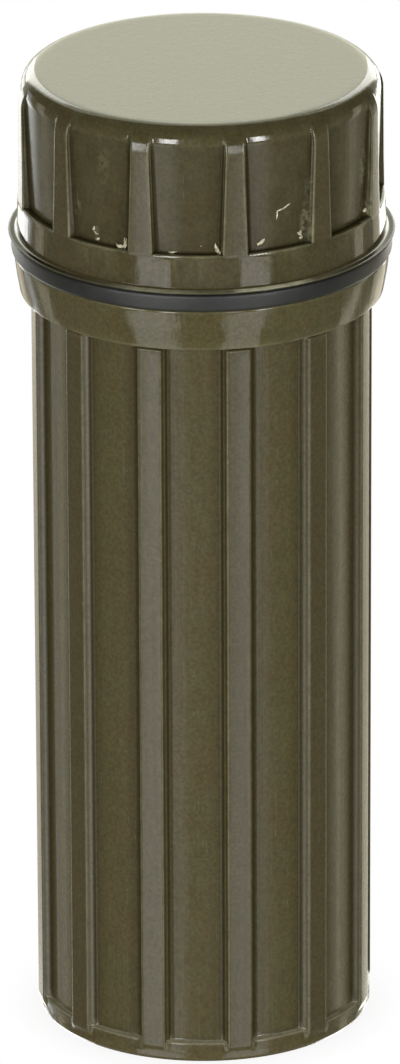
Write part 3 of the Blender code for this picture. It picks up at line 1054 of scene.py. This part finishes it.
class CASE_OT_flash(bpy.types.Operator):
    """Model the crumbs of moulding flash in the corners of the cap's panels"""
    bl_idname = "case.flash"
    bl_label = "Flash"

    # Degrees to the right of the camera; radius, height, length and width in mm; lean in degrees
    CRUMBS = (
        (-25.15, 14.50, 72.20, 1.00, 0.27, 86), (-27.0, 14.56, 71.84, 0.72, 0.30, -6),
        (4.9, 14.52, 72.05, 1.05, 0.30, -62), (6.7, 14.56, 71.86, 0.50, 0.20, 60),
        (19.4, 14.50, 72.38, 0.80, 0.28, 38), (33.2, 14.52, 72.62, 0.40, 0.34, 20),
        (33.8, 14.52, 72.22, 0.34, 0.26, 60), (-9.3, 14.50, 71.80, 0.70, 0.14, 8),
        (-0.3, 14.47, 72.36, 0.16, 0.14, 0), (65.9, 14.56, 72.30, 0.55, 0.36, 25),
        (-37.0, 14.50, 72.85, 0.42, 0.20, 65), (-36.2, 14.50, 72.52, 0.50, 0.15, -25),
        (-35.4, 14.52, 72.05, 0.42, 0.20, 25), (27.4, 14.56, 75.10, 1.25, 0.13, 22),
        (24.9, 14.53, 74.60, 0.75, 0.11, 88),
    )

    def execute(self, context):
        made, up = [], Vector((0, 0, 1))
        depth, grain, offset, curl, thin = 0.45, 1.7, 7.3, 0.35, 0.4
        for number, (azimuth, radius, height, long, wide, lean) in enumerate(self.CRUMBS):
            crumb = start_piece("crumb", bpy.ops.mesh.primitive_ico_sphere_add, subdivisions=3,
                                radius=1)
            out, tilt = photo_direction(azimuth), radians(lean)
            along = Vector((-out.y, out.x, 0)) * cos(tilt) + up * sin(tilt)
            across = out.cross(along)
            bpy.ops.object.mode_set(mode='EDIT')
            mesh = bmesh.from_edit_mesh(crumb.data)
            for point in mesh.verts:
                patch = point.co * grain + Vector((number * offset, 0, 0))
                place = point.co * (1 + depth * noise.noise(patch))
                bend = curl * wide * place.x ** 2
                spot = (out * (radius + place.z * wide * thin) + up * height
                        + along * place.x * long / 2 + across * (place.y * wide / 2 + bend))
                point.co = spot / MM
            finish_shell(crumb)
            made.append(crumb)
        choose(*made)
        bpy.ops.object.join()
        flash = made[0]
        flash.name = flash.data.name = "cap_flash"
        smooth(flash, radians(70))
        pale = made_once("abs_flash_stress_whitened", whitened_flash)
        settle(flash, "cap", "moulded_plastic", pale)
        return {'FINISHED'}


# Stage

class CASE_OT_stage(bpy.types.Operator):
    """Make the round stand, the white surroundings, the soft boxes and the camera"""
    bl_idname = "case.stage"
    bl_label = "Stage"

    # Name, degrees right of the camera, elevation, width and height in degrees, radiance, colour
    # if it isn't white, and whether it shows in reflections
    SOFT_BOXES = (
        ("key_left", -19.5, 10, 8, 26, 15.0),
        ("key_right", 37.2, 10, 6, 26, 19.0),
        ("wing_left", -41.5, 9, 12, 24, 9.0),
        ("wing_right", 18.5, 9, 10, 24, 4.8),
        ("middle", 2, -13, 36, 10, 0.25),
        ("strip_left", -29.2, -17.3, 19.4, 8.6, 2.3),
        ("strip_right", 32.8, -17.3, 17.6, 8.6, 2.3),
        ("wide_left", -31.5, -28.3, 29, 13.4, 1.8),
        ("wide_right", 28.5, -28.3, 27, 13.4, 1.5),
        ("foot_left", -31.5, -45, 22, 20, 1.6),
        ("foot_right", 29, -45, 20, 20, 1.4),
        ("edge_left", -120, -12, 9, 50, 0.8, "#fff6e0"),
        ("edge_right", 114, -12, 9, 50, 1.2, "#fff6e0"),
        ("rim_left", -137, -12, 8, 44, 0.9, "#f6f8ff"),
        ("rim_right", 141, -22, 13, 44, 0.8, "#fff6d8"),
        ("glow_left", -155, -20, 18, 18, 0.7, "#fff0d8"),
        ("glow_right", 155, -20, 14, 18, 1.2, "#fff2dc"),
        ("high_left", -146, -9, 16, 18, 3.3),
        ("side_left", -160, -9, 12, 18, 1.5),
        ("high_right", 156, -9, 19, 18, 3.4),
        ("low_left", -156, -38.5, 29, 23, 2.9),
        ("low_right", 157, -38.5, 19, 23, 3.2),
        ("back_left", -160, 22, 16, 38, 2.6),
        ("back_right", 160, 22, 16, 38, 2.6),
        ("back", 180, 32, 60, 56, 1.3, BACKDROP_TINT),
        ("overhead", 0, 90, 60, 60, 0.5, WHITE, False),
        ("fill_front", 0, -30, 80, 40, 0.45, WHITE, False),
        ("fill_left", -95, -25, 60, 40, 0.3, WHITE, False),
        ("fill_right", 95, -25, 60, 40, 0.8, WHITE, False),
    )

    def execute(self, context):
        self.make_floor()
        self.make_world()
        for box in self.SOFT_BOXES:
            self.make_soft_box(*box)
        self.make_camera()
        context.scene.view_settings.view_transform = 'Standard'
        return {'FINISHED'}

    def make_floor(self):
        thickness, radius, edge = 0.004, 0.05, 0.001
        piece = begin_ring("floor", radius - edge, -thickness, 128)
        pull_along(piece, ((radius, edge - thickness), (radius, -edge), (radius - edge, 0)))
        close_ring()
        select_points(piece, lambda co: co.z < -thickness + POINT_SLACK)
        close_ring()
        finish_shell(piece)
        smooth(piece)
        piece.data.materials.append(made_once("white_matt_paint", painted_floor))
        # The lamps stand lower than the board, and it is left out of what they meet
        piece.visible_diffuse = piece.visible_glossy = piece.visible_shadow = False

    def make_world(self):
        """White to the camera. To other rays it is white behind the case and dim in front."""
        world = bpy.data.worlds.new("studio")
        bpy.context.scene.world = world
        world.use_nodes = True
        mix = Mixer(world.node_tree, "Generated")
        rise = mix.height(mix.place)
        behind = mix.measure('DOT_PRODUCT', mix.place, photo_direction(180))
        level = mix.add('ShaderNodeMix', {"Factor": mix.ramp(behind, 0.75, 0.9),
                                          "A": mix.ramp(rise, -0.15, 0.2, 0.28, 0.12),
                                          "B": mix.ramp(rise, -0.30, -0.20, 0.35, 1.0)})
        seen = mix.camera_ray()
        # The backdrop is white to the camera, and a warm white to the case
        mix.dress({"Strength": mix.math('MAXIMUM', level.outputs["Result"], seen),
                   "Color": mix.blend(seen, BACKDROP_TINT, WHITE)}, "Background")

    def make_soft_box(self, name, azimuth, elevation, wide, tall, radiance, tint=WHITE,
                      mirrored=True):
        """Add an area lamp that faces the case from a set distance."""
        distance, out = 0.7, photo_direction(azimuth, elevation)
        bpy.ops.object.light_add(type='AREA', location=LOOK_POINT + out * distance)
        box = bpy.context.object
        box.name = box.data.name = name
        box.rotation_euler = out.to_track_quat('Z', 'Y').to_euler()
        lamp = box.data
        lamp.shape = 'RECTANGLE'
        lamp.size, lamp.size_y = (2 * distance * tan(radians(angle) / 2) for angle in (wide, tall))
        lamp.energy = radiance * pi * lamp.size * lamp.size_y
        lamp.color = linear(tint)
        box.visible_camera, box.visible_glossy = False, mirrored

    def make_camera(self):
        """Set up the camera that was fitted to the photograph."""
        away = photo_direction(0, CAMERA_ELEVATION)
        right = Vector((-away.y, away.x, 0)).normalized()
        aside = (PHOTO_WIDTH / 2 - LOOK_PIXEL[0]) / PIXELS_PER_METRE
        above = (LOOK_PIXEL[1] - PHOTO_HEIGHT / 2) / PIXELS_PER_METRE
        aim = LOOK_POINT + right * aside + away.cross(right) * above
        bpy.ops.object.camera_add(location=LOOK_POINT + away * CAMERA_DISTANCE)
        camera = bpy.context.object
        look = (camera.location - aim).to_track_quat('Z', 'Y').to_matrix()
        camera.rotation_euler = (look @ Matrix.Rotation(-CAMERA_ROLL, 3, 'Z')).to_euler()
        camera.data.sensor_width = SENSOR
        camera.data.lens = FOCAL_PIXELS / PHOTO_HEIGHT * SENSOR
        camera.data.clip_start, camera.data.clip_end = 0.05, 20
        bpy.context.scene.camera = camera


class CASE_PT_panel(bpy.types.Panel):
    """Lists the case's pieces, sizes and colours in the sidebar"""
    bl_idname = "CASE_PT_panel"
    bl_label = "Round waterproof case"
    bl_space_type = 'VIEW_3D'
    bl_region_type = 'UI'
    bl_category = "Case"

    def draw(self, context):
        for operator in OPERATORS:
            self.layout.operator(operator.bl_idname)
        for group in (context.scene.case_sizes, context.scene.case_colours):
            for name in group.__annotations__:
                self.layout.prop(group, name)


OPERATORS = (CASE_OT_container, CASE_OT_threads, CASE_OT_cap, CASE_OT_ring, CASE_OT_bar,
             CASE_OT_flash, CASE_OT_stage)
CLASSES = (CaseSizes, CaseColours, *OPERATORS, CASE_PT_panel)


def register():
    for made in CLASSES:
        bpy.utils.register_class(made)
    bpy.types.Scene.case_sizes = PointerProperty(type=CaseSizes)
    bpy.types.Scene.case_colours = PointerProperty(type=CaseColours)


def unregister():
    del bpy.types.Scene.case_colours
    del bpy.types.Scene.case_sizes
    for made in reversed(CLASSES):
        bpy.utils.unregister_class(made)


def main():
    register()
    bpy.ops.case.container()
    bpy.ops.case.threads()
    bpy.ops.case.cap()
    bpy.ops.case.ring()
    bpy.ops.case.bar()
    bpy.ops.case.flash()
    bpy.ops.case.stage()


if __name__ == "__main__":
    main()
